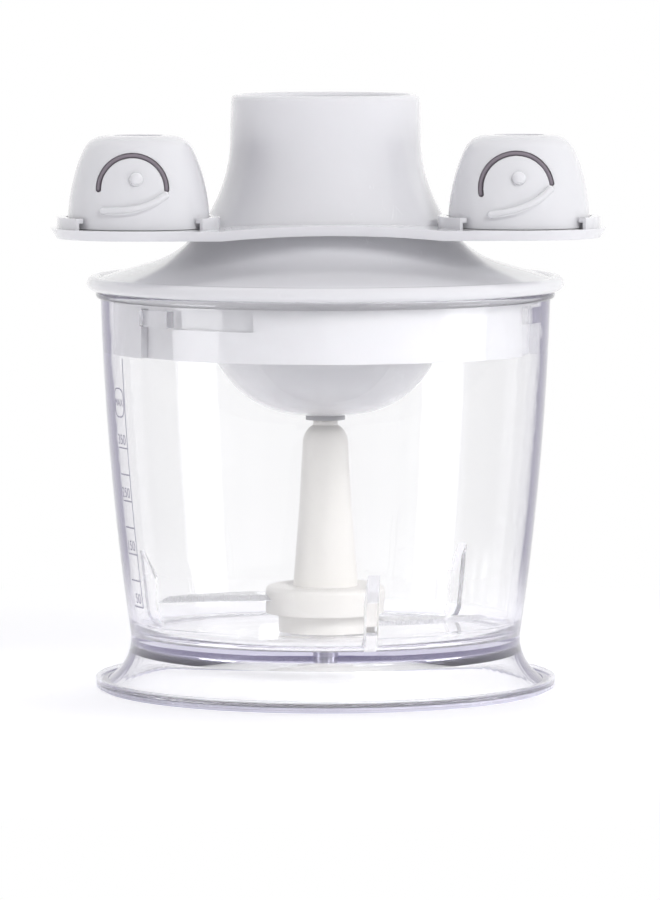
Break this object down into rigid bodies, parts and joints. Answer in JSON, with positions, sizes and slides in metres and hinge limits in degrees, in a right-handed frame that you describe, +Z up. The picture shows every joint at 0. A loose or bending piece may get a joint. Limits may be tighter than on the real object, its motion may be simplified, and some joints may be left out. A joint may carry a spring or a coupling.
{
  "type": "baby food maker",
  "caption": "Clear bowl with a knife under a white trumpet-shaped lid whose planetary gear is driven through the open neck; an arched yoke with domed caps sits on the lid.",
  "frame": {"origin": "on the floor at the centre of the base", "axes": "+Z up along the axis of bowl and lid, front with the two caps towards -Y, +X to the right"},
  "size_m": [0.1372, 0.1192, 0.1484],
  "materials": {
    "white_gloss": "glossy moulded",
    "clear_plastic": "clear moulded plastic",
    "clear_soft": "clear soft plastic",
    "steel": "turned",
    "blade_steel": "ground",
    "soft_white": "soft",
    "grey_plastic": "matte moulded",
    "gear_plastic": "matte moulded",
    "brass": "turned",
    "dark_rubber": "soft",
    "warm_white": "satin moulded"
  },
  "bodies": {
    "bowl": {"bowl": "clear_plastic", "pivot_pin": "steel", "foot_ring": "clear_soft"},
    "seal": {"lid_seal": "soft_white"},
    "lid": {"lid_shell": "white_gloss", "drive_well": "white_gloss", "lid_skirt": "white_gloss", "gear_case": "white_gloss", "gear_cover": "grey_plastic", "gear_cover_screws": "steel", "ring_gear": "gear_plastic", "output_bush": "brass", "shaft_seal": "dark_rubber", "input_bush": "brass", "input_seal": "dark_rubber"},
    "knife": {"planet_carrier": "grey_plastic", "planet_pins": "steel", "thrust_washer": "gear_plastic", "knife_shaft": "warm_white", "upper_blade": "blade_steel", "lower_blade": "blade_steel"},
    "drive": {"sun_gear": "steel", "drive_coupling": "grey_plastic"},
    "planet_1": {"planet_gear_1": "gear_plastic"},
    "planet_2": {"planet_gear_2": "gear_plastic"},
    "planet_3": {"planet_gear_3": "gear_plastic"},
    "yoke": {"yoke": "white_gloss"},
    "cap_left": {"cap_left": "white_gloss"},
    "cap_right": {"cap_right": "white_gloss"}
  },
  "joints": [
    {"name": "lid_lift", "type": "slide", "parent": "bowl", "child": "seal", "axis": [0, 0, 1], "range_m": [0, 0.1]},
    {"name": "lid_turn", "type": "hinge", "parent": "seal", "child": "lid", "pos_m": [0, 0, 0.1], "axis": [0, 0, 1], "range_deg": [-25, 0]},
    {"name": "knife_spin", "type": "hinge", "parent": "lid", "child": "knife", "pos_m": [0, 0, 0.08], "axis": [0, 0, 1], "continuous": true},
    {"name": "drive_spin", "type": "hinge", "parent": "lid", "child": "drive", "pos_m": [0, 0, 0.1], "axis": [0, 0, 1], "continuous": true},
    {"name": "yoke_lift", "type": "slide", "parent": "lid", "child": "yoke", "axis": [0, 0, 1], "range_m": [0, 0.045]},
    {"name": "cap_left_turn", "type": "hinge", "parent": "yoke", "child": "cap_left", "pos_m": [-0.0469, -0.019, 0.11622], "axis": [0, 0, 1], "range_deg": [0, 70]},
    {"name": "cap_right_turn", "type": "hinge", "parent": "yoke", "child": "cap_right", "pos_m": [0.0469, -0.019, 0.11622], "axis": [0, 0, 1], "range_deg": [0, 70]},
    {"name": "planet_1_spin", "type": "hinge", "parent": "knife", "child": "planet_1", "pos_m": [0.0135, 0, 0.0865], "axis": [0, 0, 1], "continuous": true},
    {"name": "planet_2_spin", "type": "hinge", "parent": "knife", "child": "planet_2", "pos_m": [-0.00675, 0.01169, 0.0865], "axis": [0, 0, 1], "continuous": true},
    {"name": "planet_3_spin", "type": "hinge", "parent": "knife", "child": "planet_3", "pos_m": [-0.00675, -0.01169, 0.0865], "axis": [0, 0, 1], "continuous": true}
  ],
  "couplings": [
    {"joint": "drive_spin", "follows": "knife_spin", "ratio": 5},
    {"joint": "planet_1_spin", "follows": "knife_spin", "ratio": -2.6667},
    {"joint": "planet_2_spin", "follows": "knife_spin", "ratio": -2.6667},
    {"joint": "planet_3_spin", "follows": "knife_spin", "ratio": -2.6667}
  ]
}
